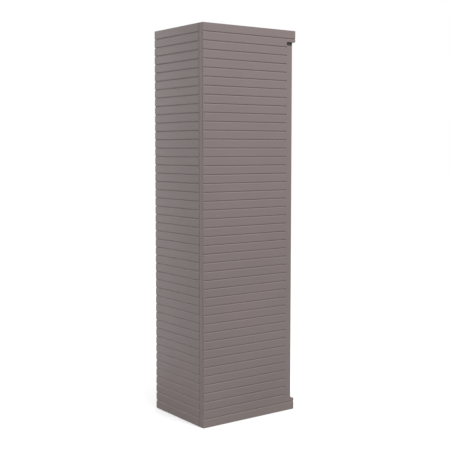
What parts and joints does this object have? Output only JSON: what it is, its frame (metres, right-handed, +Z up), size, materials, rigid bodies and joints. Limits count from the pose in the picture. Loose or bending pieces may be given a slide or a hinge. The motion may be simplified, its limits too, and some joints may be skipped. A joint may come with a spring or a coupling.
{
  "type": "rain barrel",
  "caption": "Slim slatted rain barrel for a house wall: a tank on a plinth behind cladding panels, with a hinged lid, a ball tap, a drain, an inlet and an overflow.",
  "frame": {"origin": "on the ground, at the middle of the footprint between front face and wall lugs", "axes": "+Z up; -Y towards the front; +Y towards the wall; the fittings are on the -X side"},
  "size_m": [0.5002, 0.526, 1.8],
  "materials": {
    "black_plastic": "matt black, moulded",
    "brass": "satin",
    "cladding": "satin, taupe grey, moulded",
    "frame_steel": "galvanised",
    "rubber": "matt black",
    "seat_plastic": "white, smooth",
    "stainless": "bright",
    "tank_plastic": "matt dark grey-green, moulded"
  },
  "bodies": {
    "barrel": {"back_panel": "cladding", "base_plinth": "black_plastic", "drain_backnut": "black_plastic", "drain_gasket": "rubber", "drain_rosette": "black_plastic", "drain_tube": "black_plastic", "front_left_post": "frame_steel", "front_panel": "cladding", "front_right_post": "frame_steel", "hinge_pins": "stainless", "hose_nozzle": "black_plastic", "inlet_backnut": "black_plastic", "inlet_gasket": "rubber", "inlet_rosette": "black_plastic", "inlet_strainer": "black_plastic", "inlet_tube": "black_plastic", "left_notch_grommet": "rubber", "left_side_panel": "cladding", "lower_wall_rail": "frame_steel", "nozzle_washer": "rubber", "overflow_backnut": "black_plastic", "overflow_gasket": "rubber", "overflow_rosette": "black_plastic", "overflow_tube": "black_plastic", "packing_nut": "brass", "panel_screws": "stainless", "rail_screws": "stainless", "rear_left_post": "frame_steel", "rear_right_post": "frame_steel", "right_notch_grommet": "rubber", "right_side_panel": "cladding", "tank_body": "tank_plastic", "tap_backnut": "black_plastic", "tap_body": "brass", "tap_gasket": "rubber", "tap_rosette": "black_plastic", "tap_seats": "seat_plastic", "tap_tube": "black_plastic", "top_frame": "black_plastic", "upper_wall_rail": "frame_steel"},
    "lid": {"lid_shell": "cladding", "lid_seal": "rubber"},
    "latch": {"latch_knob": "black_plastic", "latch_cam": "stainless", "latch_nut": "stainless", "latch_spacer": "black_plastic"},
    "cap": {"tank_cap": "black_plastic", "tank_cap_seal": "rubber"},
    "tap_handle": {"tap_lever": "black_plastic", "tap_stem": "stainless", "tap_ball": "stainless", "lever_screw": "stainless"},
    "hose_nut": {"nozzle_nut": "black_plastic"},
    "drain_closure": {"drain_cap": "black_plastic", "drain_cap_seal": "rubber"}
  },
  "joints": [
    {"name": "lid_hinge", "type": "hinge", "parent": "barrel", "child": "lid", "pos_m": [0, 0.214, 1.793], "axis": [-1, 0, 0], "range_deg": [0, 95]},
    {"name": "latch_turn", "type": "hinge", "parent": "lid", "child": "latch", "pos_m": [0, -0.178, 1.791], "axis": [0, 0, -1], "range_deg": [0, 90]},
    {"name": "cap_turn", "type": "hinge", "parent": "barrel", "child": "cap", "pos_m": [0, -0.007, 1.72], "axis": [0, 0, 1], "range_deg": [0, 360]},
    {"name": "tap_lever_turn", "type": "hinge", "parent": "barrel", "child": "tap_handle", "pos_m": [-0.245, -0.15, 0.33], "axis": [0, 0, 1], "range_deg": [0, 90]},
    {"name": "hose_nut_turn", "type": "hinge", "parent": "barrel", "child": "hose_nut", "pos_m": [-0.283, -0.15, 0.28], "axis": [0, 0, 1], "continuous": true},
    {"name": "drain_cap_turn", "type": "hinge", "parent": "barrel", "child": "drain_closure", "pos_m": [-0.215, -0.15, 0.12], "axis": [-1, 0, 0], "continuous": true}
  ]
}
